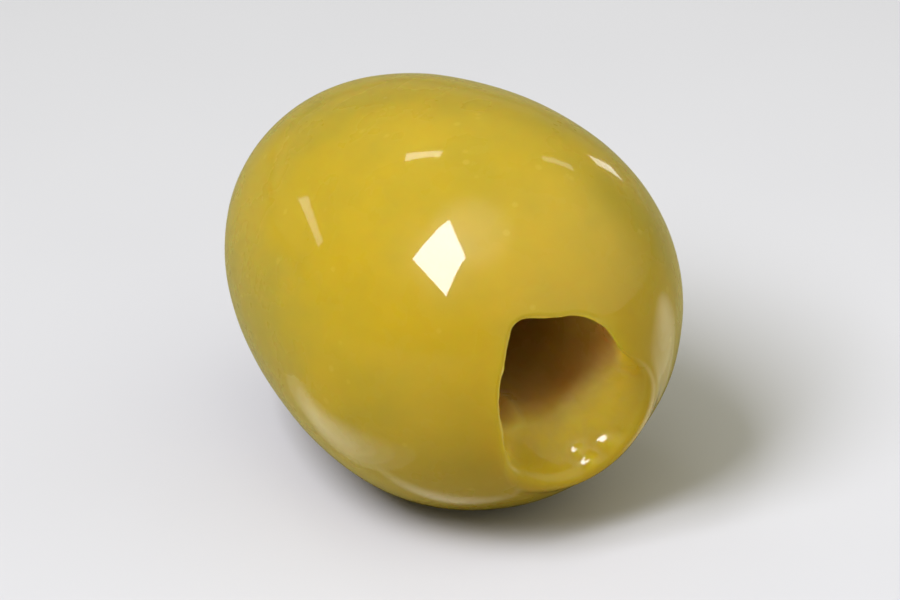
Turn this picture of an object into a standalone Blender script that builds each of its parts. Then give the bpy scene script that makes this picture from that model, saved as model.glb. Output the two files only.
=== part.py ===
"""Pitted green olive, lying on its side.

The olive is one piece of fruit flesh: an egg-shaped body with the passage that its stone left,
from a round mouth in the blunt end to a cross-shaped cut in the low nipple of the other end.
Metres, +Z up. The passage runs along Y and its mouth faces -Y. The olive rests on a small flat
spot in the plane z = 0, and the origin is the middle of that spot.
"""
import math

import bmesh
import bpy

MM = 0.001

# The skin is a turned egg, with its length along the passage.
HALF_LENGTH = 14.0 * MM
HALF_WIDTH = 10.15 * MM
SQUARENESS = 2.23          # exponent of the egg's outline, 2 for an ellipse
BLUNTNESS = 0.143          # how much fuller the mouth's half is than the nipple's half
LEAN = 0.03                # fall of the body's middle line per length, towards the nipple
UNEVENNESS = 0.009         # share of the radius by which the fruit is out of round

# The mouth is a punched round hole, off to one side and pulled out of round.
# Each pull is (angle, rise of the edge, spread).
MOUTH_RADIUS = 4.7 * MM
MOUTH_OFFSET = 1.9 * MM    # of the hole's middle from the passage's axis
MOUTH_SIDE = math.radians(-58)
MOUTH_PULLS = (
    (math.radians(125), 1.15 * MM, math.radians(22)),
    (math.radians(150), 0.6 * MM, math.radians(34)),
    (math.radians(88), 0.34 * MM, math.radians(18)),
    (math.radians(217), -0.3 * MM, math.radians(22)),
    (math.radians(16), -1.8 * MM, math.radians(36)),
)
LIP_CRISP = 0.45 * MM      # reach of the lip's roll where the edge is crisp
LIP_SOFT = 1.1 * MM        # and opposite, where the hole opens into a bowl
LIP_SOFT_SIDE = math.radians(-33)
SOFT_FROM = -0.2           # cosine from the soft side at which the softening begins
SOFT_TO = 0.35
BOWL_DEPTH = 1.2 * MM      # of the bowl that the punch pressed into the flesh
BOWL_LEAN = 0.7            # share by which it is deeper on one side
BOWL_SIDE = math.radians(200)
FOLD_SIDE = math.radians(-70)      # where the soft lip folds more sharply
FOLD_SPREAD = math.radians(45)
FOLD_PLACE = 0.7           # share of the way from neck to edge at which the bowl is deepest there
FOLD_LIFT = 0.5 * MM

# The passage: a neck behind the bowl, then the chamber that the stone filled.
NECK_RADIUS = 3.15 * MM
NECK_BELOW = 0.55 * MM     # where the neck begins, below the bowl
NECK_PULL_CRISP = 0.6      # share of the mouth's outline that the neck keeps at the crisp edge
NECK_PULL_SOFT = 0.05      # and at the bowl
CHAMBER_RADIUS = 3.95 * MM
NECK_PLACE = -6.5 * MM
CHAMBER_PLACE = 0.5 * MM
CHAMBER_END = 8.4 * MM

# The nipple and the cross cut in it.
NIPPLE_HEIGHT = 1.05 * MM
NIPPLE_SPREAD = 2.6 * MM
TIP_RADIUS = 5.0 * MM      # the skin inside this radius belongs to the tip
TIP_DROP = -0.55 * MM
CUT_HEART = 0.9 * MM       # distance of the four flaps from the middle of the cut
CUT_ARMS = (3.3 * MM, 2.75 * MM, 3.05 * MM, 2.6 * MM)
CUT_FIRST_ARM = math.radians(24)
CUT_WIDTH = math.radians(11)
CUT_GATHER = 0.62          # how closely the segments gather at the arms
FLAP_LIFT = (0.3 * MM, -0.2 * MM, 0.16 * MM, -0.32 * MM)
FLAP_EDGE = 0.28 * MM      # reach of the round edge between skin and cut

REST_DEPTH = 0.26 * MM     # how much of the belly the flat spot takes off

SEGMENTS = 72
SKIN_RINGS = 19
TIP_RINGS = 5
CUT_RINGS = 5
CHAMBER_RINGS = 9
LIP_RINGS = 12
MERGE = 1e-6

SKIN_COLOUR = (0.55, 0.39, 0.03, 1.0)
SKIN_ROUGHNESS = 0.2


def ease(value):
    """Smooth step from 0 to 1."""
    value = min(max(value, 0.0), 1.0)
    return value * value * (3 - 2 * value)


def mix(first, second, share):
    """The value at a share of the way from first to second."""
    return first + (second - first) * share


def skin_radius(s):
    """The turned egg's radius, at s = 1 on the blunt end to s = -1 on the nipple's end."""
    outline = (1 - abs(s) ** SQUARENESS) ** (1 / SQUARENESS)
    return HALF_WIDTH * outline * (1 + BLUNTNESS * s * (1 - s * s))


def skin_place(radius, end):
    """The share s at which the skin has this radius, near one end (1 blunt, -1 nipple)."""
    near, far = 0.4, 1.0
    for _ in range(30):
        middle = (near + far) / 2
        if skin_radius(end * middle) > radius:
            near = middle
        else:
            far = middle
    return end * near


def skin_height(radius, end):
    """The skin's place along the passage for a radius near one end."""
    height = -HALF_LENGTH * skin_place(radius, end)
    if end < 0:
        height += NIPPLE_HEIGHT * math.exp(-((radius / NIPPLE_SPREAD) ** 2))
    return height


def soft_side(theta):
    """1 on the side where the hole opens into a bowl, 0 opposite."""
    return ease((math.cos(theta - LIP_SOFT_SIDE) - SOFT_FROM) / (SOFT_TO - SOFT_FROM))


def mouth_edge(theta):
    """Distance from the axis to the corner of skin and hole, before it is rolled."""
    across = MOUTH_OFFSET * math.sin(theta - MOUTH_SIDE)
    edge = MOUTH_OFFSET * math.cos(theta - MOUTH_SIDE) + math.sqrt(MOUTH_RADIUS ** 2 - across ** 2)
    for angle, rise, spread in MOUTH_PULLS:
        away = math.remainder(theta - angle, 2 * math.pi)
        edge += rise * math.exp(-((away / spread) ** 2))
    return edge


def neck_edge(theta):
    """Distance from the axis to the neck's wall."""
    kept = mix(NECK_PULL_CRISP, NECK_PULL_SOFT, soft_side(theta))
    return mix(NECK_RADIUS, mouth_edge(theta), kept)


def lip_reach(theta):
    """How far the lip's roll reaches from the corner."""
    return mix(LIP_CRISP, LIP_SOFT, soft_side(theta))


def lip_points(theta):
    """Points that guide the lip: up the neck's wall, out over the bowl, round the fold."""
    corner, neck, reach = mouth_edge(theta), neck_edge(theta), lip_reach(theta)
    away = math.remainder(theta - FOLD_SIDE, 2 * math.pi)
    fold = math.exp(-((away / FOLD_SPREAD) ** 2))
    place = mix(0.5, FOLD_PLACE, fold)
    depth = BOWL_DEPTH * (1 + BOWL_LEAN * math.cos(theta - BOWL_SIDE))
    top = skin_height(corner, 1)
    return ((neck, top + depth + NECK_BELOW + 1.5 * MM), (neck, top + depth + NECK_BELOW),
            (mix(neck, corner, place), top + depth),
            (corner + FOLD_LIFT * fold, top - FOLD_LIFT * fold),
            (corner + reach, skin_height(corner + reach, 1)))


def along_lip(points, share):
    """A point of the smooth curve that starts and ends at the outer points."""
    joints = [points[0]]
    for first, second in zip(points[1:-2], points[2:-1]):
        joints.append(((first[0] + second[0]) / 2, (first[1] + second[1]) / 2))
    joints.append(points[-1])
    stretch = min(int(share * (len(joints) - 1)), len(joints) - 2)
    part = share * (len(joints) - 1) - stretch
    weights = ((1 - part) ** 2, 2 * part * (1 - part), part ** 2)
    guides = (joints[stretch], points[stretch + 1], joints[stretch + 1])
    return [sum(weight * guide[i] for weight, guide in zip(weights, guides)) for i in (0, 1)]


def cut_edge(theta):
    """Distance from the axis to the edge of the cross cut, and the lift of its flap."""
    turn = ((theta - CUT_FIRST_ARM) / (math.pi / 2)) % 4
    arm = round(turn) % 4
    away = abs(turn - round(turn)) * math.pi / 2
    edge = CUT_HEART + (CUT_ARMS[arm] - CUT_HEART) * math.exp(-((away / CUT_WIDTH) ** 1.3))
    flap = int(turn) % 4
    middle = math.sin(math.pi * (turn % 1)) ** 2
    return edge, FLAP_LIFT[flap] * middle


def gathered(theta, share):
    """The angle of a segment, drawn towards the nearest arm of the cut."""
    return theta - share * CUT_GATHER / 4 * math.sin(4 * (theta - CUT_FIRST_ARM))


def fullness(theta, s):
    """The slow unevenness of a real fruit, as a factor on its radius."""
    fade = 1 - s ** 4
    wave = 0.6 * math.sin(2 * theta + 0.7) + 0.5 * math.sin(3 * theta + 2.1 + 1.5 * s)
    wave += 0.5 * math.sin(theta + 4.0 * s + 1.2)
    return 1 + UNEVENNESS * fade * wave


def skin_drop(height):
    """Fall of the body's middle line below the passage's axis."""
    return -LEAN * (height + HALF_LENGTH)


def place_skin(share, theta):
    """A ring of the skin: 0 at the lip's roll, 1 at the tip."""
    lip_angle = math.acos(skin_place(mouth_edge(theta) + lip_reach(theta), 1))
    tip_angle = math.acos(skin_place(TIP_RADIUS, -1))
    s = math.cos(mix(lip_angle, tip_angle, share))
    height = -HALF_LENGTH * s
    if s < 0:
        height += NIPPLE_HEIGHT * math.exp(-((skin_radius(s) / NIPPLE_SPREAD) ** 2))
    return theta, skin_radius(s) * fullness(theta, s), height, skin_drop(height)


def place_tip(share, theta):
    """A ring of the tip: 0 at its outer circle, 1 just outside the cut's round edge."""
    theta = gathered(theta, ease(share))
    edge, lift = cut_edge(theta)
    radius = mix(TIP_RADIUS, edge + FLAP_EDGE, share)
    height = skin_height(radius, -1) + lift * share ** 2
    drop = mix(skin_drop(height), TIP_DROP, ease(share))
    return theta, radius * mix(fullness(theta, skin_place(TIP_RADIUS, -1)), 1, share), height, drop


def place_cut(share, theta):
    """A ring of the cut's wall: 0 at the skin, 1 where the cut opens into the chamber."""
    theta = gathered(theta, 1 - ease(share))
    edge, lift = cut_edge(theta)
    top = skin_height(edge + FLAP_EDGE, -1) + lift - FLAP_EDGE
    opened = ease((share - 0.3) / 0.7)
    radius = mix(edge, neck_edge(theta), opened)
    height = mix(top, CHAMBER_END, share)
    return theta, radius, height, mix(TIP_DROP, 0.35 * TIP_DROP, share)


def place_chamber(share, theta):
    """A ring of the stone's chamber and the neck: 0 at the cut, 1 where the lip begins."""
    height = mix(CHAMBER_END, lip_points(theta)[0][1], share)
    if height > CHAMBER_PLACE:
        swell = 1 - ease((height - CHAMBER_PLACE) / (CHAMBER_END - CHAMBER_PLACE))
    else:
        swell = ease((height - NECK_PLACE) / (CHAMBER_PLACE - NECK_PLACE))
    radius = mix(neck_edge(theta), CHAMBER_RADIUS, swell)
    return theta, radius, height, 0.35 * TIP_DROP * (1 - ease(5 * share))


def place_lip(share, theta):
    """A ring of the lip: 0 on the neck's wall, 1 on the skin, round the corner between."""
    radius, height = along_lip(lip_points(theta), share)
    s = skin_place(mouth_edge(theta) + lip_reach(theta), 1)
    radius *= mix(1, fullness(theta, s), share ** 2)
    return theta, radius, height, skin_drop(height) * ease(share)


def section_stations():
    """Once round the wall of the fruit: down the skin's side first, back up the passage."""
    stations = [(place_skin, ring / SKIN_RINGS) for ring in range(SKIN_RINGS)]
    stations += [(place_tip, ring / TIP_RINGS) for ring in range(TIP_RINGS + 1)]
    stations += [(place_cut, ring / CUT_RINGS) for ring in range(CUT_RINGS)]
    stations += [(place_chamber, ring / CHAMBER_RINGS) for ring in range(CHAMBER_RINGS)]
    stations += [(place_lip, ring / LIP_RINGS) for ring in range(LIP_RINGS)]
    return stations


def turned_blank(name, stations):
    """The section turned round Z by a Screw modifier; each point knows its station."""
    mesh = bpy.data.meshes.new(name + "_section")
    blank = bmesh.new()
    station_layer = blank.verts.layers.int.new("station")
    corners = []
    for number, (place, share) in enumerate(stations):
        _, radius, height, _ = place(share, 0.0)
        corner = blank.verts.new((radius, 0, -height))
        corner[station_layer] = number
        corners.append(corner)
    for corner, following in zip(corners, corners[1:] + corners[:1]):
        blank.edges.new((corner, following))
    blank.to_mesh(mesh)
    blank.free()
    section = bpy.data.objects.new(name + "_section", mesh)
    bpy.context.scene.collection.objects.link(section)
    screw = section.modifiers.new("turn", "SCREW")
    screw.steps = SEGMENTS
    screw.render_steps = SEGMENTS
    screw.use_merge_vertices = True
    screw.merge_threshold = MERGE
    graph = bpy.context.evaluated_depsgraph_get()
    turned = bpy.data.meshes.new_from_object(section.evaluated_get(graph))
    bpy.data.objects.remove(section)
    return turned


def shape_fruit(mesh, stations):
    """Push every ring of the blank to its outline in the fruit, and lay the passage along Y."""
    fruit = bmesh.new()
    fruit.from_mesh(mesh)
    station_layer = fruit.verts.layers.int["station"]
    for corner in fruit.verts:
        place, share = stations[corner[station_layer]]
        turn = math.atan2(corner.co.y, corner.co.x)
        theta, radius, height, drop = place(share, turn)
        corner.co = (radius * math.cos(theta), height, radius * math.sin(theta) + drop)
    return fruit


def cut_rest_spot(fruit):
    """Take the flat spot off the belly, and put the origin in its middle."""
    ground = min(corner.co.z for corner in fruit.verts) + REST_DEPTH
    geometry = fruit.verts[:] + fruit.edges[:] + fruit.faces[:]
    cut = bmesh.ops.bisect_plane(fruit, geom=geometry, dist=1e-7, plane_co=(0, 0, ground),
                                 plane_no=(0, 0, -1), clear_outer=True)
    rim = [item for item in cut["geom_cut"] if isinstance(item, bmesh.types.BMEdge)]
    bmesh.ops.edgeloop_fill(fruit, edges=rim)
    rim_corners = {corner for edge in rim for corner in edge.verts}
    middle = sum(corner.co.y for corner in rim_corners) / len(rim_corners)
    bmesh.ops.translate(fruit, vec=(0, -middle, -ground), verts=fruit.verts[:])
    return middle, ground


def skin_material():
    """Yellow-green, wet and glossy."""
    material = bpy.data.materials.new("olive_skin")
    material.use_nodes = True
    shader = material.node_tree.nodes["Principled BSDF"]
    shader.inputs["Base Color"].default_value = SKIN_COLOUR
    shader.inputs["Roughness"].default_value = SKIN_ROUGHNESS
    shader.inputs["Metallic"].default_value = 0.0
    return material


def build_olive(collection):
    """The whole fruit, one closed body."""
    stations = section_stations()
    blank = turned_blank("olive", stations)
    fruit = shape_fruit(blank, stations)
    middle, ground = cut_rest_spot(fruit)
    bmesh.ops.recalc_face_normals(fruit, faces=fruit.faces[:])
    mesh = bpy.data.meshes.new("olive")
    fruit.to_mesh(mesh)
    fruit.free()
    bpy.data.meshes.remove(blank)
    mesh.materials.append(skin_material())
    mesh.shade_smooth()
    olive = bpy.data.objects.new("olive", mesh)
    collection.objects.link(olive)
    print(f"passage axis at y shift {-middle / MM:.3f} mm, z {-ground / MM:.3f} mm")


def main():
    for old in list(bpy.data.objects):
        bpy.data.objects.remove(old)
    collection = bpy.data.collections.new("green_olive")
    bpy.context.scene.collection.children.link(collection)
    build_olive(collection)


main()
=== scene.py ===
# %% [markdown]
# # A pitted green olive
#
# This lesson models one pitted table olive that lies on its side. The fruit is a single piece of
# flesh: a smooth wet skin outside, a round hole at the blunt end where the stone was pushed out,
# and a small cross cut in the nipple at the other end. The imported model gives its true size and
# place. Here it gets a fine surface, its colours and a studio to stand in.

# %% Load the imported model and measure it
import math
import random

import bmesh
import bpy
from mathutils import Matrix, Vector, noise


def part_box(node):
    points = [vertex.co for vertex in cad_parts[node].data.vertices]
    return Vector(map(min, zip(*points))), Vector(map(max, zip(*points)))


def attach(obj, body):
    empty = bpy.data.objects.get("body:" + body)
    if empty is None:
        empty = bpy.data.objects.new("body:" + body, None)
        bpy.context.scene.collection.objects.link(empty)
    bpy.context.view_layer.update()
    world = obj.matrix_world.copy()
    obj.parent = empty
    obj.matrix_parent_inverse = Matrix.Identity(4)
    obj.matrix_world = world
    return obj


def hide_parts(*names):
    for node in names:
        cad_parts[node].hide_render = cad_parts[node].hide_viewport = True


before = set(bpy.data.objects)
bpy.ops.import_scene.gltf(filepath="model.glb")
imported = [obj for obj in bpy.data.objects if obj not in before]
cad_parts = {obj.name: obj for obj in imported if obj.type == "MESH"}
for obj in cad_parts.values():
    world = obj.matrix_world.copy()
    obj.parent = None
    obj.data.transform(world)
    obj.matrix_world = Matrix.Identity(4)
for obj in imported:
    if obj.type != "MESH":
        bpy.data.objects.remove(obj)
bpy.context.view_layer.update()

node_low, node_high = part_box("olive")
MM = 0.001
size_mm = [round((high - low) / MM, 1) for low, high in zip(node_low, node_high)]
print("the olive measures", size_mm, "mm, and it lies along Y")

# %% [markdown]
# ## The camera
#
# A picture of small food is taken from far away with a long lens, so that its near and far ends
# keep the same scale. A long lens also keeps the outline true: nothing bulges towards the viewer.
# The camera looks down at the end that has the round hole, by a little more than a quarter of a
# right angle.

# %% Aim the camera
CAMERA_AZIMUTH = math.radians(-27.5)
CAMERA_ELEVATION = math.radians(26)
CAMERA_DISTANCE = 0.78               # metres
PICTURE_WIDTH = 900                  # pixels
PIXELS_PER_MM = 20.0                 # of the olive, in the finished picture
AIM_RIGHT = 0.5 * MM                 # from the middle of the olive's box
AIM_UP = -1.4 * MM
SENSOR = 36.0                        # millimetres, the unit that lenses use


def toward(azimuth, elevation):
    """Unit vector from the olive to a place round it: azimuth 0 is the -Y side."""
    flat = math.cos(elevation)
    return Vector((math.sin(azimuth) * flat, -math.cos(azimuth) * flat, math.sin(elevation)))


scene = bpy.context.scene
to_camera = toward(CAMERA_AZIMUTH, CAMERA_ELEVATION)
middle = Vector((node_low[i] + node_high[i] for i in range(3))) / 2
lens_data = bpy.data.cameras.new("long_lens")
lens_data.sensor_width = SENSOR
lens_data.lens = SENSOR * PIXELS_PER_MM * (CAMERA_DISTANCE / MM) / PICTURE_WIDTH
lens_data.clip_start = 0.01
camera = bpy.data.objects.new("long_lens", lens_data)
facing = to_camera.to_track_quat("Z", "Y")
aim = middle + facing @ Vector((AIM_RIGHT, AIM_UP, 0.0))
camera.location = aim + to_camera * CAMERA_DISTANCE
camera.rotation_euler = facing.to_euler()
scene.collection.objects.link(camera)
scene.camera = camera
scene.view_settings.view_transform = "Standard"
print("lens of", round(lens_data.lens), "mm at", CAMERA_DISTANCE, "m")

# %% [markdown]
# ## The olive's shape as a set of rules
#
# A pitted olive is a ring, topologically: you can walk down its skin, in at the hole, through the
# passage and out of the cross cut. So its whole wall is one closed line, turned round the passage.
# Each point of that line has a small rule that says where it goes at each angle. The rules below
# give the egg shape, the lip of the hole, the neck and chamber inside, and the cross cut.

# %% The egg
HALF_LENGTH = 14.0 * MM
HALF_WIDTH = 10.15 * MM
SQUARENESS = 2.23                    # 2 would be an ellipse
BLUNTNESS = 0.143                    # how much fuller the half with the hole is
LEAN = 0.03                          # fall of the body's middle line, per length
UNEVENNESS = 0.009                   # share of the radius
FRUIT_WAVES = (                      # height, waves round the fruit, start angle, twist along it
    (0.6, 2, 0.7, 0.0),
    (0.5, 3, 2.1, 1.5),
    (0.5, 1, 1.2, 4.0),
)
END_FROM = 0.4                       # an end begins at this share of the half length
SEARCH_STEPS = 24


def ease(value):
    """Smooth step from 0 to 1."""
    value = min(max(value, 0.0), 1.0)
    return value * value * (3 - 2 * value)


def mix(first, second, share):
    """The value at a share of the way from first to second."""
    return first + (second - first) * share


def egg_radius(s):
    """Radius of the turned egg, from s = 1 at the blunt end to s = -1 at the nipple."""
    outline = (1 - abs(s) ** SQUARENESS) ** (1 / SQUARENESS)
    return HALF_WIDTH * outline * (1 + BLUNTNESS * s * (1 - s * s))


def egg_place(radius, end):
    """The share s where the egg has this radius, near one end (1 blunt, -1 nipple)."""
    near, far = END_FROM, 1.0
    for _ in range(SEARCH_STEPS):
        middle = (near + far) / 2
        if egg_radius(end * middle) > radius:
            near = middle
        else:
            far = middle
    return end * near


def fullness(theta, s):
    """The slow unevenness of a real fruit, as a factor on its radius."""
    wave = sum(height * math.sin(count * theta + start + twist * s)
               for height, count, start, twist in FRUIT_WAVES)
    return 1 + UNEVENNESS * (1 - s ** 4) * wave


def belly_drop(height):
    """Fall of the body's middle line below the passage."""
    return -LEAN * (height + HALF_LENGTH)


print("widest at", round(2 * max(egg_radius(i / 50) for i in range(-50, 50)) / MM, 2), "mm")

# %% [markdown]
# ## The hole and the passage
#
# The stone leaves through a punched hole. The hole is a circle that sits a little to one side of
# the passage. Skin and flesh are soft, so its edge is pulled out of round, and a few small pulls
# copy that. The edge is crisp on one side and rolled and soft on the other. Behind it is a short
# neck, and then the chamber that the stone filled.

# %% The edge of the hole, the neck and the chamber
MOUTH_RADIUS = 4.7 * MM
MOUTH_OFFSET = 1.9 * MM              # of the hole's middle from the passage's axis
MOUTH_SIDE = math.radians(-58)       # the side it is off to
MOUTH_PULLS = (                      # angle, rise of the edge there, and its spread
    (math.radians(125), 1.15 * MM, math.radians(22)),
    (math.radians(150), 0.6 * MM, math.radians(34)),
    (math.radians(88), 0.34 * MM, math.radians(18)),
    (math.radians(217), -0.3 * MM, math.radians(22)),
    (math.radians(16), -1.8 * MM, math.radians(36)),
)
LIP_CRISP = 0.45 * MM                # reach of the roll at the crisp side
LIP_SOFT = 1.1 * MM                  # and at the soft side
LIP_SOFT_SIDE = math.radians(-33)
SOFT_FROM = -0.2                     # cosine from the soft side at which the softening begins
SOFT_TO = 0.35                       # and at which it is complete
NECK_RADIUS = 3.15 * MM
NECK_PULL_CRISP = 0.6                # share of the edge's outline that the neck follows
NECK_PULL_SOFT = 0.05
CHAMBER_RADIUS = 3.95 * MM
NECK_PLACE = -6.5 * MM               # along the passage, where the neck turns into the chamber
CHAMBER_PLACE = 0.5 * MM             # where the chamber is widest
CHAMBER_END = 8.4 * MM               # where the wall of the cross cut meets it


def soft_side(theta):
    """1 on the side where the lip is rolled and soft, 0 opposite."""
    return ease((math.cos(theta - LIP_SOFT_SIDE) - SOFT_FROM) / (SOFT_TO - SOFT_FROM))


def mouth_edge(theta):
    """Distance from the passage's axis to the hole's edge, before it is rolled."""
    across = MOUTH_OFFSET * math.sin(theta - MOUTH_SIDE)
    edge = MOUTH_OFFSET * math.cos(theta - MOUTH_SIDE) + math.sqrt(MOUTH_RADIUS ** 2 - across ** 2)
    for angle, rise, spread in MOUTH_PULLS:
        away = math.remainder(theta - angle, 2 * math.pi)
        edge += rise * math.exp(-((away / spread) ** 2))
    return edge


def neck_edge(theta):
    """Distance from the axis to the wall of the neck."""
    kept = mix(NECK_PULL_CRISP, NECK_PULL_SOFT, soft_side(theta))
    return mix(NECK_RADIUS, mouth_edge(theta), kept)


def lip_reach(theta):
    """How far the lip's roll reaches from the edge."""
    return mix(LIP_CRISP, LIP_SOFT, soft_side(theta))


print("the hole is", round(2 * MOUTH_RADIUS / MM, 1), "mm wide, the chamber",
      round(2 * CHAMBER_RADIUS / MM, 1), "mm")

# %% [markdown]
# ## The nipple and the cross cut
#
# The far end rises to a low nipple. A cross-shaped blade went in there, so four pointed flaps meet
# in the middle, each lifted or sunk a little. In polar form the cut is easy: the distance from the
# axis to the edge is small between the arms and rises to a peak along each arm.

# %% The nipple and its four flaps
NIPPLE_HEIGHT = 1.05 * MM
NIPPLE_SPREAD = 2.6 * MM
TIP_RADIUS = 5.0 * MM                # where the nipple's own rule begins
TIP_DROP = -0.55 * MM                # of the cut, from the passage's axis
CUT_HEART = 0.9 * MM                 # from the axis to the edge, between two arms
CUT_ARMS = (3.3 * MM, 2.75 * MM, 3.05 * MM, 2.6 * MM)
CUT_FIRST_ARM = math.radians(24)
CUT_WIDTH = math.radians(11)         # spread of an arm to each side of its middle
CUT_TAPER = 1.3                      # 2 would make the arms round, 1 makes them needles
CUT_GATHER = 0.62                    # how strongly the points crowd towards the arms
CUT_RIM = 0.7                        # how strong the pale line of the cut skin is
CUT_RIM_FROM = 0.86                  # share of the nipple's skin where it begins
FLAP_LIFT = (0.3 * MM, -0.2 * MM, 0.16 * MM, -0.32 * MM)
FLAP_EDGE = 0.28 * MM                # roll of a flap's edge


def skin_height(radius, end):
    """The skin's place along the passage for a radius near one end."""
    height = -HALF_LENGTH * egg_place(radius, end)
    if end < 0:
        height += NIPPLE_HEIGHT * math.exp(-((radius / NIPPLE_SPREAD) ** 2))
    return height


def cut_edge(theta):
    """Distance from the axis to the edge of the cross cut, and the lift of the flap."""
    turn = ((theta - CUT_FIRST_ARM) / (math.pi / 2)) % 4
    arm = round(turn) % 4
    away = abs(turn - round(turn)) * math.pi / 2
    edge = CUT_HEART + (CUT_ARMS[arm] - CUT_HEART) * math.exp(-((away / CUT_WIDTH) ** CUT_TAPER))
    middle = math.sin(math.pi * (turn % 1)) ** 2
    return edge, FLAP_LIFT[int(turn) % 4] * middle


def gathered(theta, share):
    """The angle of a point, drawn towards the nearest arm of the cut."""
    return theta - share * CUT_GATHER / 4 * math.sin(4 * (theta - CUT_FIRST_ARM))


print("arms of the cut reach", [round(arm / MM, 2) for arm in CUT_ARMS], "mm")

# %% [markdown]
# ## One rule for each stretch of the wall
#
# Each rule takes a share of its stretch and an angle. It gives the angle, radius, height and drop
# of the point. It also gives three paints: how much it is flesh instead of skin, how near it is to
# the cut edge of the skin, and how deep inside the fruit it is. The finish uses them later.

# %% The skin and the tip
def place_skin(share, theta):
    """The skin from the lip's roll, at 0, to the tip's outer circle, at 1."""
    lip_angle = math.acos(egg_place(mouth_edge(theta) + lip_reach(theta), 1))
    tip_angle = math.acos(egg_place(TIP_RADIUS, -1))
    s = math.cos(mix(lip_angle, tip_angle, share))
    height = -HALF_LENGTH * s
    if s < 0:
        height += NIPPLE_HEIGHT * math.exp(-((egg_radius(s) / NIPPLE_SPREAD) ** 2))
    return (theta, egg_radius(s) * fullness(theta, s), height, belly_drop(height)), (0, 0, 0)


def place_tip(share, theta):
    """The nipple's skin from the outer circle, at 0, to just outside the cut, at 1."""
    theta = gathered(theta, ease(share))
    edge, lift = cut_edge(theta)
    radius = mix(TIP_RADIUS, edge + FLAP_EDGE, share)
    height = skin_height(radius, -1) + lift * share ** 2
    drop = mix(belly_drop(height), TIP_DROP, ease(share))
    radius *= mix(fullness(theta, egg_place(TIP_RADIUS, -1)), 1, share)
    rim = CUT_RIM * ease((share - CUT_RIM_FROM) / (1 - CUT_RIM_FROM))
    return (theta, radius, height, drop), (0, rim, 0)


print("skin rules ready, from radius",
      round(place_skin(0, 0)[0][1] / MM, 2), "to", round(place_tip(1, 0)[0][1] / MM, 2), "mm")

# %% [markdown]
# ## The bowl behind the edge
#
# The pin that pushed the stone out pressed a shallow bowl into the flesh on the soft side. So the
# lip's section is a smooth curve that a few guide points draw: up the neck's wall, out over the
# bowl, and round the edge into the skin. On the lowest side the edge folds outwards a little.
# Only the guide points change with the angle, which keeps the whole lip smooth.

# %% The curve of the lip
BOWL_DEPTH = 1.2 * MM
BOWL_LEAN = 0.7                      # share by which the bowl is deeper on one side
BOWL_SIDE = math.radians(200)
NECK_BELOW = 0.55 * MM               # where the neck's wall begins, below the bowl
NECK_WALL = 1.5 * MM                 # the straight part of that wall
FOLD_SIDE = math.radians(-70)
FOLD_SPREAD = math.radians(45)
BOWL_PLACE = 0.5                     # share of the way from neck to edge where the bowl is deepest
FOLD_PLACE = 0.7                     # the same, where the edge folds outwards
FOLD_LIFT = 0.5 * MM


def lip_points(theta):
    """Five points that guide the lip: up the neck's wall, out over the bowl, round the fold."""
    corner, neck, reach = mouth_edge(theta), neck_edge(theta), lip_reach(theta)
    away = math.remainder(theta - FOLD_SIDE, 2 * math.pi)
    fold = math.exp(-((away / FOLD_SPREAD) ** 2))
    place = mix(BOWL_PLACE, FOLD_PLACE, fold)
    depth = BOWL_DEPTH * (1 + BOWL_LEAN * math.cos(theta - BOWL_SIDE))
    top = skin_height(corner, 1)
    return ((neck, top + depth + NECK_BELOW + NECK_WALL),
            (neck, top + depth + NECK_BELOW),
            (mix(neck, corner, place), top + depth),
            (corner + FOLD_LIFT * fold, top - FOLD_LIFT * fold),
            (corner + reach, skin_height(corner + reach, 1)))


def along_lip(points, share):
    """A point of the smooth curve that starts and ends at the outer points."""
    joints = [points[0]]
    for first, second in zip(points[1:-2], points[2:-1]):
        joints.append(((first[0] + second[0]) / 2, (first[1] + second[1]) / 2))
    joints.append(points[-1])
    stretch = min(int(share * (len(joints) - 1)), len(joints) - 2)
    part = share * (len(joints) - 1) - stretch
    weights = ((1 - part) ** 2, 2 * part * (1 - part), part ** 2)
    guides = (joints[stretch], points[stretch + 1], joints[stretch + 1])
    return [sum(weight * guide[i] for weight, guide in zip(weights, guides)) for i in (0, 1)]


deepest = BOWL_DEPTH * (1 + BOWL_LEAN)
print("the bowl is", round(deepest / MM, 1), "mm deep at its deepest side")

# %% The walls of the cut and the chamber
WALL_WIDENS = 0.3                    # share of the cut's wall where it starts to widen
WALL_FLESH = 0.1                     # share by which skin has turned into flesh
WALL_RIM = 0.07                      # share over which the pale line fades
CHAMBER_DROP = 0.35 * TIP_DROP       # where the cut's wall meets the chamber
CHAMBER_DROP_ENDS = 0.2              # share of the chamber where that drop is gone


def place_cut(share, theta):
    """The wall of the cross cut, from the skin, at 0, to the chamber, at 1."""
    theta = gathered(theta, 1 - ease(share))
    edge, lift = cut_edge(theta)
    top = skin_height(edge + FLAP_EDGE, -1) + lift - FLAP_EDGE
    radius = mix(edge, neck_edge(theta), ease((share - WALL_WIDENS) / (1 - WALL_WIDENS)))
    height = mix(top, CHAMBER_END, share)
    paints = (ease(share / WALL_FLESH), math.exp(-((share / WALL_RIM) ** 2)), ease(share))
    return (theta, radius, height, mix(TIP_DROP, CHAMBER_DROP, share)), paints


def place_chamber(share, theta):
    """The chamber and the neck, from the cut's wall, at 0, to the lip, at 1."""
    height = mix(CHAMBER_END, lip_points(theta)[0][1], share)
    if height > CHAMBER_PLACE:
        swell = 1 - ease((height - CHAMBER_PLACE) / (CHAMBER_END - CHAMBER_PLACE))
    else:
        swell = ease((height - NECK_PLACE) / (CHAMBER_PLACE - NECK_PLACE))
    radius = mix(neck_edge(theta), CHAMBER_RADIUS, swell)
    drop = CHAMBER_DROP * (1 - ease(share / CHAMBER_DROP_ENDS))
    return (theta, radius, height, drop), (1, 0, 1)


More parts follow.
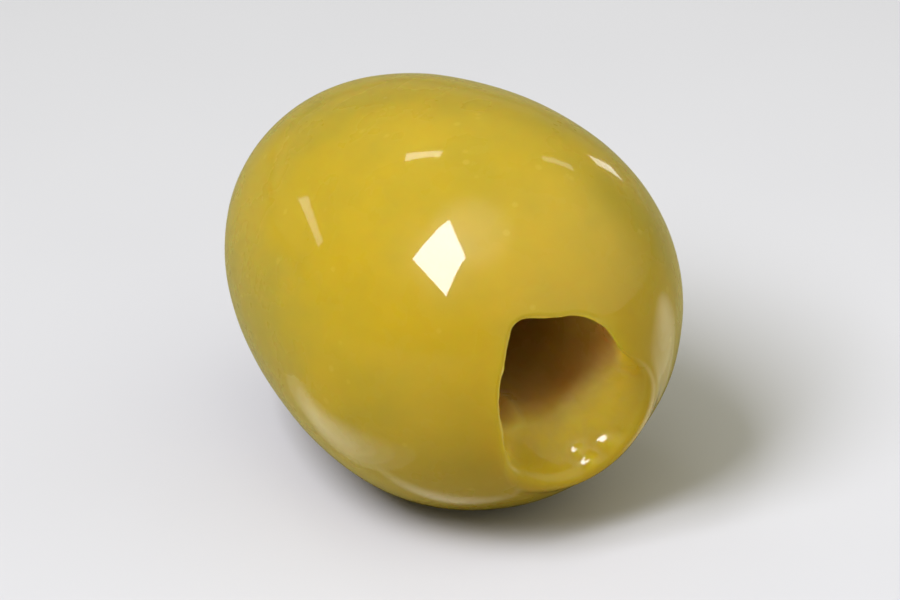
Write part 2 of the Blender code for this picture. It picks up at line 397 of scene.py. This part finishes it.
print("the passage is", round((CHAMBER_END - lip_points(0)[0][1]) / MM, 1), "mm long inside")

# %% The lip
SKIN_END_CRISP = 0.84                # share of the lip where the skin ends
SKIN_END_SOFT = 0.55
SKIN_FADE_CRISP = 0.06               # over what share skin turns into flesh
SKIN_FADE_SOFT = 0.45
# The deep brown is partly the flesh's own colour and partly painted shade, a little darker further
# in.
DEEP_END = 0.48                      # share of the lip where the deep brown ends


def place_lip(share, theta):
    """The lip, from the neck's wall, at 0, round the edge to the skin, at 1."""
    radius, height = along_lip(lip_points(theta), share)
    s = egg_place(mouth_edge(theta) + lip_reach(theta), 1)
    radius *= mix(1, fullness(theta, s), share ** 2)
    soft = soft_side(theta)
    skin_end = mix(SKIN_END_CRISP, SKIN_END_SOFT, soft)
    skin_fade = mix(SKIN_FADE_CRISP, SKIN_FADE_SOFT, soft)
    flesh = 1 - ease((share - skin_end) / skin_fade + 0.5)
    rim = (1 - soft) * math.exp(-(((share - skin_end) / skin_fade) ** 2))
    deep = 1 - ease(share / DEEP_END)
    return (theta, radius, height, belly_drop(height) * ease(share)), (flesh, rim, deep)


print("the lip's skin ends", SKIN_END_CRISP, "of the way round the crisp edge")

# %% [markdown]
# ## Turn the section into a fruit
#
# The spin operator turns a line of points round an axis and joins the last copy to the first. That
# gives a blank whose rings and segments are in order. Each point remembers its stretch, so that
# afterwards the rule of that stretch can move it to its own place.

# %% Lay out the section and spin it
SEGMENTS = 320
STRETCHES = (
    (place_skin, 76),
    (place_tip, 26),
    (place_cut, 22),
    (place_chamber, 40),
    (place_lip, 56),
)
stations = [(rule, ring / rings) for rule, rings in STRETCHES for ring in range(rings)]

fruit = bmesh.new()
station_of = fruit.verts.layers.int.new("station")
line = []
for number, (rule, share) in enumerate(stations):
    theta, radius, height, drop = rule(share, 0.0)[0]
    point = fruit.verts.new((radius, height, 0.0))
    point[station_of] = number
    line.append(point)
edges = [fruit.edges.new(pair) for pair in zip(line, line[1:] + line[:1])]
bmesh.ops.spin(fruit, geom=line + edges, cent=(0, 0, 0), axis=(0, 1, 0), dvec=(0, 0, 0),
               angle=2 * math.pi, steps=SEGMENTS, use_merge=True)
print("blank:", len(stations), "rings of", SEGMENTS, "segments,", len(fruit.faces), "faces")

# %% Move every point by its rule, and store its paints
PAINTS = ("flesh", "rim", "deep")
paint_layers = [fruit.verts.layers.float.new(name) for name in PAINTS]
for point in fruit.verts:
    rule, share = stations[point[station_of]]
    turn = math.atan2(point.co.z, point.co.x)
    (theta, radius, height, drop), paints = rule(share, turn)
    point.co = (radius * math.cos(theta), height, radius * math.sin(theta) + drop)
    for layer, amount in zip(paint_layers, paints):
        point[layer] = amount
bmesh.ops.recalc_face_normals(fruit, faces=fruit.faces[:])
fruit.normal_update()
print("volume", round(fruit.calc_volume() * 1e6, 2), "cm3")

# %% [markdown]
# ## Relief: what makes it a fruit and not a casting
#
# A cured olive is firm but not perfect. The skin has a few shallow dents and a faint slow ripple.
# The wall of the passage is torn flesh, with ridges along the way the stone slid out. All of this
# is real geometry, moved along the surface's own normals, so it shows in any light. Oil gathers
# on the low side of the lip in small beads, which stand up from the wall and catch the light.

# %% Dents in the skin
DENTS = 16
DENT_SEED = 7
DENT_ENDS = 0.8                      # share of the half length, from the middle, that has dents
DENT_REACH = (1.2, 3.4)              # millimetres, smallest and largest
DENT_DEPTH = (0.02, 0.07)            # the same
BUMP_END = 6                         # squared distance, in reaches, past which a bump is nothing

rolls = random.Random(DENT_SEED)
dents = []
for _ in range(DENTS):
    angle = rolls.uniform(0, 2 * math.pi)
    along = rolls.uniform(-DENT_ENDS, DENT_ENDS)
    radius = egg_radius(-along)
    place = Vector((radius * math.cos(angle), HALF_LENGTH * along, radius * math.sin(angle)))
    dents.append((place, rolls.uniform(*DENT_REACH) * MM, rolls.uniform(*DENT_DEPTH) * MM))


def bumps(place, rounds):
    """Summed height of soft round bumps at a place; each has a centre, a reach and a height."""
    height = 0.0
    for centre, reach, most in rounds:
        near = (place - centre).length_squared / reach ** 2
        if near < BUMP_END:
            height += most * math.exp(-near)
    return height


print(DENTS, "dents, the deepest", round(max(most for _, _, most in dents) / MM, 3), "mm")

# %% Beads of oil on the lip
BEADS = (                            # angle, share of the lip, reach and height
    (math.radians(-55.5), 0.67, 0.50 * MM, 0.14 * MM),
    (math.radians(-59.2), 0.61, 0.40 * MM, 0.11 * MM),
    (math.radians(-69), 0.68, 0.44 * MM, 0.30 * MM),
    (math.radians(-71.5), 0.56, 0.38 * MM, 0.24 * MM),
)
BEAD_FULL = 0.05 * MM                # where a bead is this high, the flesh below looks wet
beads = []
for angle, share, reach, height in BEADS:
    theta, radius, along, drop = place_lip(share, angle)[0]
    centre = Vector((radius * math.cos(theta), along, radius * math.sin(theta) + drop))
    beads.append((centre, reach, height))
print(len(beads), "beads of oil")

# %% Ripples of the skin and ridges of the flesh
SKIN_RIPPLE = 0.035 * MM
SKIN_RIPPLE_SIZE = 3.2 * MM
SKIN_GRAIN = 0.002 * MM
SKIN_GRAIN_SIZE = 0.9 * MM
FLESH_LUMP = 0.10 * MM
FLESH_LUMP_SIZE = 1.3 * MM
FLESH_FIBRE = 0.035 * MM
FLESH_FIBRE_SIZE = 0.45 * MM
FIBRE_STRETCH = 0.22                 # the smaller, the longer the ridges run


def skin_relief(place):
    """Height of the skin's ripple above its smooth form."""
    relief = SKIN_RIPPLE * noise.noise(place / SKIN_RIPPLE_SIZE)
    relief += SKIN_GRAIN * noise.noise(place / SKIN_GRAIN_SIZE)
    return relief - bumps(place, dents)


def flesh_relief(place):
    """Height of the torn flesh, with ridges that run along the passage."""
    along = Vector((place.x, place.y * FIBRE_STRETCH, place.z))
    relief = FLESH_LUMP * noise.noise(place / FLESH_LUMP_SIZE)
    return relief + FLESH_FIBRE * noise.noise(along / FLESH_FIBRE_SIZE)


flesh_layer = paint_layers[0]
oil_layer = fruit.verts.layers.float.new("oil")
normals = {point: point.normal.copy() for point in fruit.verts}
moves = []
for point, normal in normals.items():
    bead = bumps(point.co, beads)
    relief = mix(skin_relief(point.co), flesh_relief(point.co), point[flesh_layer]) + bead
    point[oil_layer] = min(bead / BEAD_FULL, 1.0)
    moves.append(relief)
    point.co += normal * relief
print("relief from", round(min(moves) / MM, 3), "to", round(max(moves) / MM, 3), "mm")

# %% [markdown]
# ## The rest spot
#
# A soft fruit that lies on a table presses a small flat spot into its belly. Points below the
# ground plane are raised to it, with a rounded turn into the flat instead of a sharp edge. Then
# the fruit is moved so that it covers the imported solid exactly.

# %% Press the belly flat and set the fruit in place
REST_DEPTH = 0.26 * MM               # how much of the belly is pressed flat
REST_SOFTNESS = 0.05 * MM            # of the turn into the flat
ground = min(point.co.z for point in fruit.verts) + REST_DEPTH
for point in fruit.verts:
    above = point.co.z - ground
    point.co.z = (above + math.hypot(above, REST_SOFTNESS)) / 2
tip_gap = node_high[1] - max(point.co.y for point in fruit.verts)
bmesh.ops.translate(fruit, vec=(0, tip_gap, 0), verts=fruit.verts[:])
print("passage axis", round(-ground / MM, 2), "mm above the table")

mesh = bpy.data.meshes.new("olive_fruit")
fruit.to_mesh(mesh)
fruit.free()
mesh.shade_smooth()
olive = bpy.data.objects.new("olive_fruit", mesh)
scene.collection.objects.link(olive)
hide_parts("olive")
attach(olive, "root")
print("faces in the fruit:", len(mesh.polygons))

# %% [markdown]
# ## Helpers for the finishes
#
# A finish is a small tree of shader nodes. A few helpers keep it readable. They make a node with
# its inputs filled, mix two colours by a mask, weaken or spread a mask, and start a node group.

# %% Node helpers
def put(tree, kind, values=None, **settings):
    """A node of this kind; each value is a number, a colour or another node's output."""
    made = tree.nodes.new(kind)
    for name, setting in settings.items():
        setattr(made, name, setting)
    for name, value in (values or {}).items():
        if isinstance(value, bpy.types.NodeSocket):
            tree.links.new(value, made.inputs[name])
        else:
            made.inputs[name].default_value = value
    return made


MIX_FACTOR, MIX_FIRST, MIX_SECOND, MIX_RESULT = 0, 6, 7, 2


def mix_colour(tree, mask, first, second):
    """first where the mask is 0, second where it is 1."""
    made = put(tree, "ShaderNodeMix", {MIX_FACTOR: mask, MIX_FIRST: first, MIX_SECOND: second},
               data_type="RGBA")
    return made.outputs[MIX_RESULT]


def paint_mask(tree, name):
    """The mask that a paint of the mesh holds."""
    return put(tree, "ShaderNodeAttribute", attribute_name=name).outputs["Fac"]


def faint(tree, mask, strength):
    """The mask, weakened to this strength."""
    return put(tree, "ShaderNodeMath", {0: mask, 1: strength}, operation="MULTIPLY").outputs[0]


def between(tree, mask, first, last):
    """A value that is first where the mask is 0 and last where it is 1."""
    spread = put(tree, "ShaderNodeMapRange", {"Value": mask, "To Min": first, "To Max": last})
    return spread.outputs[0]


def smooth_mask(tree, value, low, high):
    """A mask that is 0 where the value is low and 1 where it is high, smooth between them."""
    spread = put(tree, "ShaderNodeMapRange", {"Value": value, "From Min": low, "From Max": high},
                 interpolation_type="SMOOTHSTEP")
    return spread.outputs[0]


def own_place(tree):
    """The place on the piece itself, which a pattern reads."""
    return put(tree, "ShaderNodeTexCoord").outputs["Object"]


def scale_of(tree, size):
    """The scale at which a texture's pattern has this size."""
    return put(tree, "ShaderNodeMath", {0: 1.0, 1: size}, operation="DIVIDE").outputs[0]


def new_group(name, inputs, outputs):
    """An empty node group with named inputs (with their defaults) and outputs."""
    group = bpy.data.node_groups.new(name, "ShaderNodeTree")
    for label, kind, default in inputs:
        socket = group.interface.new_socket(label, in_out="INPUT", socket_type=kind)
        if default is not None:
            socket.default_value = default
    for label, kind in outputs:
        group.interface.new_socket(label, in_out="OUTPUT", socket_type=kind)
    return group, put(group, "NodeGroupInput").outputs, put(group, "NodeGroupOutput").inputs


FLOAT, VECTOR = "NodeSocketFloat", "NodeSocketVector"
print("helpers ready")

# %% [markdown]
# ## Effects that come back in several places
#
# Cloudy change of tone shows in the skin, in the flesh and on the table. Small round spots are the
# pores of the skin. Fine relief, in two sizes, breaks up every highlight. Each of these is made
# once, as a group, and gets its own values where it is used.

# %% Group: cloudy mottle
mottle_group, given, result = new_group(
    "mottle",
    (("Size", FLOAT, 0.004), ("Stretch", VECTOR, (1, 1, 1)), ("Low", FLOAT, 0.35),
     ("High", FLOAT, 0.65), ("Seed", FLOAT, 0.0)),
    (("Mask", FLOAT),))
place = put(mottle_group, "ShaderNodeVectorMath",
            {0: own_place(mottle_group), 1: given["Stretch"]}, operation="MULTIPLY")
scale = scale_of(mottle_group, given["Size"])
cloud = put(mottle_group, "ShaderNodeTexNoise",
            {"Vector": place.outputs["Vector"], "W": given["Seed"], "Scale": scale,
             "Detail": 3.0, "Roughness": 0.55}, noise_dimensions="4D")
mask = smooth_mask(mottle_group, cloud.outputs[0], given["Low"], given["High"])
mottle_group.links.new(mask, result["Mask"])
print("mottle:", len(mottle_group.nodes), "nodes")

# %% Group: small round spots
spots_group, given, result = new_group(
    "spots",
    (("Spacing", FLOAT, 0.0012), ("Radius", FLOAT, 0.2), ("Softness", FLOAT, 0.1),
     ("Share", FLOAT, 0.6)),
    (("Mask", FLOAT),))
place = own_place(spots_group)
scale = scale_of(spots_group, given["Spacing"])
cells = put(spots_group, "ShaderNodeTexVoronoi",
            {"Vector": place, "Scale": scale, "Randomness": 1.0})
outer = put(spots_group, "ShaderNodeMath", {0: given["Radius"], 1: given["Softness"]})
spot = smooth_mask(spots_group, cells.outputs["Distance"], outer.outputs[0], given["Radius"])
pick = put(spots_group, "ShaderNodeSeparateColor", {0: cells.outputs["Color"]})
there = put(spots_group, "ShaderNodeMath", {0: pick.outputs[0], 1: given["Share"]},
            operation="LESS_THAN")
mask = faint(spots_group, spot, there.outputs[0])
spots_group.links.new(mask, result["Mask"])
print("spots:", len(spots_group.nodes), "nodes")

# %% Group: fine relief
relief_group, given, result = new_group(
    "fine_relief",
    (("Size", FLOAT, 0.0006), ("Depth", FLOAT, 0.00001), ("Normal", VECTOR, None)),
    (("Normal", VECTOR),))
place = own_place(relief_group)
scale = scale_of(relief_group, given["Size"])
grain = put(relief_group, "ShaderNodeTexNoise", {"Vector": place, "Scale": scale, "Detail": 2.0})
bump = put(relief_group, "ShaderNodeBump",
           {"Strength": 1.0, "Distance": given["Depth"], "Height": grain.outputs[0],
            "Normal": given["Normal"]})
relief_group.links.new(bump.outputs[0], result["Normal"])
print("fine_relief:", len(relief_group.nodes), "nodes")

# %% Use a group in a material
def use(tree, group, values):
    """The first output of a group, placed in a tree with these values."""
    return put(tree, "ShaderNodeGroup", values, node_tree=group).outputs[0]


def new_material(name):
    """A material with its node tree and its shader."""
    material = bpy.data.materials.new(name)
    material.use_nodes = True
    return material, material.node_tree, material.node_tree.nodes["Principled BSDF"]


print("groups:", [group.name for group in bpy.data.node_groups])

# %% [markdown]
# ## The finish of the fruit
#
# The cured skin is yellow with a little green, clouded, and dotted with pale pores. Where the skin
# was cut, a thin pale line shows. The flesh is tan at the hole and browner and a little darker
# further in, partly its own colour and partly painted shade. The whole fruit is wet with oil,
# which lies on it as a clear coat, and light goes a little way into it.

# %% Colours of skin and flesh
SKIN_YELLOW = (0.46, 0.325, 0.012, 1)
SKIN_GREEN = (0.38, 0.29, 0.016, 1)
SKIN_BROWN = (0.36, 0.22, 0.03, 1)
SKIN_PORE = (0.70, 0.55, 0.10, 1)
FLESH_TAN = (0.73, 0.555, 0.055, 1)
# Partly the flesh's own brown and partly painted shade: a little darker, for deep in the passage.
FLESH_BROWN_AND_SHADE = (0.665, 0.46, 0.15, 1)
FLESH_PALE = (0.62, 0.45, 0.10, 1)
RIM_PALE = (0.74, 0.60, 0.16, 1)
STREAK_STRENGTH = 0.16
STAIN_STRENGTH = 0.35
PORE_STRENGTH = 0.18

finish, tree, shader = new_material("olive_skin")
clouds = use(tree, mottle_group, {"Size": 0.006, "Low": 0.38, "High": 0.72, "Seed": 1.7})
streaks = use(tree, mottle_group, {"Size": 0.0016, "Stretch": (1, 0.25, 1), "Seed": 4.2})
stain = use(tree, mottle_group, {"Size": 0.0045, "Low": 0.66, "High": 0.8, "Seed": 9.1})
pores = use(tree, spots_group, {"Spacing": 0.0011, "Radius": 0.10, "Softness": 0.12,
                                "Share": 0.4})
skin = mix_colour(tree, clouds, SKIN_YELLOW, SKIN_GREEN)
skin = mix_colour(tree, faint(tree, streaks, STREAK_STRENGTH), skin, SKIN_GREEN)
skin = mix_colour(tree, faint(tree, stain, STAIN_STRENGTH), skin, SKIN_BROWN)
skin = mix_colour(tree, faint(tree, pores, PORE_STRENGTH), skin, SKIN_PORE)
print("skin colour from", len(tree.nodes), "nodes")

# %% Flesh and the cut edge
FIBRE_STRENGTH = 0.3
RIM_STRENGTH = 0.35

deep = paint_mask(tree, "deep")
fibres = use(tree, mottle_group, {"Size": 0.0007, "Stretch": (1, 0.25, 1), "Low": 0.4,
                                  "High": 0.65, "Seed": 2.5})
# Deeper in, the flesh turns browner and a little darker: partly its own colour, partly painted
# shade.
flesh = mix_colour(tree, deep, FLESH_TAN, FLESH_BROWN_AND_SHADE)
flesh = mix_colour(tree, faint(tree, fibres, FIBRE_STRENGTH), flesh, FLESH_PALE)
flesh_mask = paint_mask(tree, "flesh")
colour = mix_colour(tree, flesh_mask, skin, flesh)
colour = mix_colour(tree, faint(tree, paint_mask(tree, "rim"), RIM_STRENGTH), colour, RIM_PALE)
tree.links.new(colour, shader.inputs["Base Color"])
print("with the flesh the finish has", len(tree.nodes), "nodes")

# %% The surface and its coat of oil
ROUGHNESS = (0.24, 0.36)             # smoothest and roughest patches, below the oil
COAT_SKIN = 1.0
COAT_FLESH = 0.25                    # the torn flesh holds less oil on its surface

patches = use(tree, mottle_group, {"Size": 0.0025, "Seed": 6.3})
tree.links.new(between(tree, patches, *ROUGHNESS), shader.inputs["Roughness"])
ripple = use(tree, relief_group, {"Size": 0.0011, "Depth": 0.000006})
grain = use(tree, relief_group, {"Size": 0.00022, "Depth": 0.0000008, "Normal": ripple})
tree.links.new(grain, shader.inputs["Normal"])
dull = put(tree, "ShaderNodeMath", {0: flesh_mask, 1: paint_mask(tree, "oil")},
           operation="SUBTRACT").outputs[0]
tree.links.new(between(tree, dull, COAT_SKIN, COAT_FLESH), shader.inputs["Coat Weight"])
print("the whole finish has", len(tree.nodes), "nodes")

# %% Oil on the skin, light in the flesh
shader.inputs["IOR"].default_value = 1.42
shader.inputs["Specular IOR Level"].default_value = 0.1
shader.inputs["Coat Roughness"].default_value = 0.045
shader.inputs["Coat IOR"].default_value = 1.47
shader.inputs["Subsurface Weight"].default_value = 1.0
shader.inputs["Subsurface Radius"].default_value = (1.0, 0.6, 0.12)
shader.inputs["Subsurface Scale"].default_value = 0.005
olive.data.materials.append(finish)
print("oil coat and", shader.inputs["Subsurface Weight"].default_value, "of light goes in")

# %% [markdown]
# ## The table
#
# The fruit lies on a pale surface. It is wide enough to fill the view from every side. It is not
# part of the fruit. Away from the middle the surface is painted darker, as painted shade. A wet
# fruit mirrors what it lies on, and a bright table would wash out its lower half. So only the
# camera sees the pale colour, and the fruit gets its light from a darker and warmer one.

# %% A pale table
TABLE_HALF = 3.0                     # metres
TABLE_CLOUDS = ((0.612, 0.618, 0.63, 1), (0.632, 0.638, 0.65, 1))
# The far colour is painted shade: away from the middle the table darkens towards it, between the
# two distances below.
TABLE_FAR_PAINTED_SHADE = (0.335, 0.34, 0.348, 1)
TABLE_MIRRORED = (0.32, 0.29, 0.12, 1)     # what the fruit mirrors and is lit by
PAINTED_SHADE_FROM, PAINTED_SHADE_TO = 0.02, 0.3       # metres from the middle, from near to far

table = bmesh.new()
bmesh.ops.create_grid(table, x_segments=2, y_segments=2, size=TABLE_HALF)
table_mesh = bpy.data.meshes.new("table")
table.to_mesh(table_mesh)
table.free()
table_object = bpy.data.objects.new("table", table_mesh)
scene.collection.objects.link(table_object)

table_finish, tree, shader = new_material("pale_table")
tone = use(tree, mottle_group, {"Size": 0.05, "Low": 0.3, "High": 0.7})
near = mix_colour(tree, tone, *TABLE_CLOUDS)
reach = put(tree, "ShaderNodeVectorMath", {0: own_place(tree)}, operation="LENGTH")
# Painted shade: away from the middle the pale table is mixed into the darker far colour.
away = smooth_mask(tree, reach.outputs["Value"], PAINTED_SHADE_FROM, PAINTED_SHADE_TO)
colour = mix_colour(tree, away, near, TABLE_FAR_PAINTED_SHADE)
seen = put(tree, "ShaderNodeLightPath").outputs["Is Camera Ray"]
colour = mix_colour(tree, seen, TABLE_MIRRORED, colour)
tree.links.new(colour, shader.inputs["Base Color"])
shader.inputs["Roughness"].default_value = 0.55
table_mesh.materials.append(table_finish)
print("table", 2 * TABLE_HALF, "m wide")

# %% [markdown]
# ## The light
#
# The main light is one soft box, above and to the left. Its square face is turned on its corner,
# so it shows on the wet skin as a small bright diamond. Slim strips at the back draw short lines
# on the shoulders. Pale oval cards on the table show as soft patches low on the skin, the way a
# photographer's reflectors do. The sky is brightest near the top and at the front, and dim
# behind, which keeps the upper edge of the fruit rich in colour.

# %% Soft boxes
LAMP_DISTANCE = 0.6                  # metres
KEY_COOL = (1.0, 1.0, 1.12)          # a cool white, which keeps its mirror image from yellowing


def soft_box(name, azimuth, elevation, width, height, radiance, lean=0, turn=0, roll=0):
    """An area light that looks at the olive. Angles in degrees, sizes in metres.

    roll turns the lamp in its own plane, turn swings its face away to one side, and lean turns
    the result about the line to the olive.
    """
    out = toward(math.radians(azimuth), math.radians(elevation))
    right = Vector((0, 0, 1)).cross(out).normalized()
    face = Matrix((right, out.cross(right), out)).transposed()
    for angle, axis in ((lean, "Z"), (turn, "Y"), (roll, "Z")):
        face = face @ Matrix.Rotation(math.radians(angle), 3, axis)
    light = bpy.data.lights.new(name, "AREA")
    light.shape = "RECTANGLE"
    light.size = width
    light.size_y = height
    light.energy = radiance * math.pi * width * height
    lamp = bpy.data.objects.new(name, light)
    lamp.matrix_world = Matrix.Translation(aim + out * LAMP_DISTANCE) @ face.to_4x4()
    scene.collection.objects.link(lamp)
    return lamp


key = soft_box("key", -64, 52.5, 0.34, 0.34, 17, lean=23, turn=-54, roll=45)
key.data.color = KEY_COOL
soft_box("back_strip", -178, 48, 0.14, 0.05, 4, lean=-52)
soft_box("right_dash", 118.5, 37.6, 0.12, 0.03, 1.5, lean=62)
soft_box("right_strip", 124, 9, 0.045, 0.09, 2.4)
soft_box("left_strip", -149, 11, 0.17, 0.032, 1.6)

# %% Cards on the table
CARD_WHITE = (1.0, 0.97, 0.86)
CARD_OVALS = (1.0, 0.8, 0.6, 0.4)    # sizes of the ovals in a card, as shares
CARD_HEIGHT = 0.5                    # millimetres, of the lowest oval above the table
CARD_GAP = 0.05                      # between two ovals


def table_card(name, x, y, width, depth, turn, radiance):
    """A pale oval card that lies on the table and shines up. Sizes and places in millimetres.

    It is a stack of smaller and smaller ovals, so that it fades at its edge.
    """
    for number, share in enumerate(CARD_OVALS):
        light = bpy.data.lights.new(f"{name}_{number}", "AREA")
        light.shape = "ELLIPSE"
        light.color = CARD_WHITE
        light.size = width * MM * share
        light.size_y = depth * MM * share
        area = math.pi / 4 * light.size * light.size_y
        light.energy = radiance / len(CARD_OVALS) * math.pi * area
        lamp = bpy.data.objects.new(light.name, light)
        place = Matrix.Translation((x * MM, y * MM, (CARD_HEIGHT + CARD_GAP * number) * MM))
        turned = Matrix.Rotation(math.radians(turn), 4, "Z") @ Matrix.Rotation(math.pi, 4, "X")
        lamp.matrix_world = place @ turned
        scene.collection.objects.link(lamp)


table_card("left_card", -11.8, 1.3, 6, 19, 11, 0.85)
table_card("right_card", 42, -5, 64, 17, 0, 0.9)
table_card("front_card", 12, -10, 9, 11, 20, 0.8)
table_card("front_line", -5, -5.5, 10, 1.5, -30, 0.5)

# %% The sky
SKY_LOW = (0.06, 0.06, 0.05, 1)      # colours by height
SKY_HIGH = (0.30, 0.29, 0.22, 1)
SKY_LEVEL = (0.27, 0.26, 0.15, 1)    # a band at eye level
SKY_FILL = (0.81, 0.79, 0.66, 1)     # a wide patch in front, to the right
FILL_TOWARD = (0.50, -0.68, 0.54)
FILL_FADES = 0.3                     # cosine of the angle at which a patch has faded
SKY_GLOW = (1.62, 1.60, 1.48, 1)     # a small bright one near the top
GLOW_TOWARD = (-0.24, -0.22, 0.946)
GLOW_FADES = 0.90


def sky_patch(tree, look, middle, fades):
    """A mask that is 1 in one direction of the sky and fades to 0 round it."""
    facing = put(tree, "ShaderNodeVectorMath", {0: look, 1: middle}, operation="DOT_PRODUCT")
    return smooth_mask(tree, facing.outputs["Value"], fades, 1.0)


sky = bpy.data.worlds.new("sky")
sky.use_nodes = True
scene.world = sky
tree = sky.node_tree
shell = tree.nodes["Background"]
look = put(tree, "ShaderNodeTexCoord").outputs["Generated"]
axes = put(tree, "ShaderNodeSeparateXYZ", {0: look})
rise = smooth_mask(tree, axes.outputs["Z"], -0.1, 0.9)
tone = mix_colour(tree, rise, SKY_LOW, SKY_HIGH)
level = smooth_mask(tree, axes.outputs["Z"], 0.3, 0.0)
tone = mix_colour(tree, level, tone, SKY_LEVEL)
tone = mix_colour(tree, sky_patch(tree, look, FILL_TOWARD, FILL_FADES), tone, SKY_FILL)
tone = mix_colour(tree, sky_patch(tree, look, GLOW_TOWARD, GLOW_FADES), tone, SKY_GLOW)
tree.links.new(tone, shell.inputs["Color"])
shell.inputs["Strength"].default_value = 1.0
print("the sky has", len(tree.nodes), "nodes")
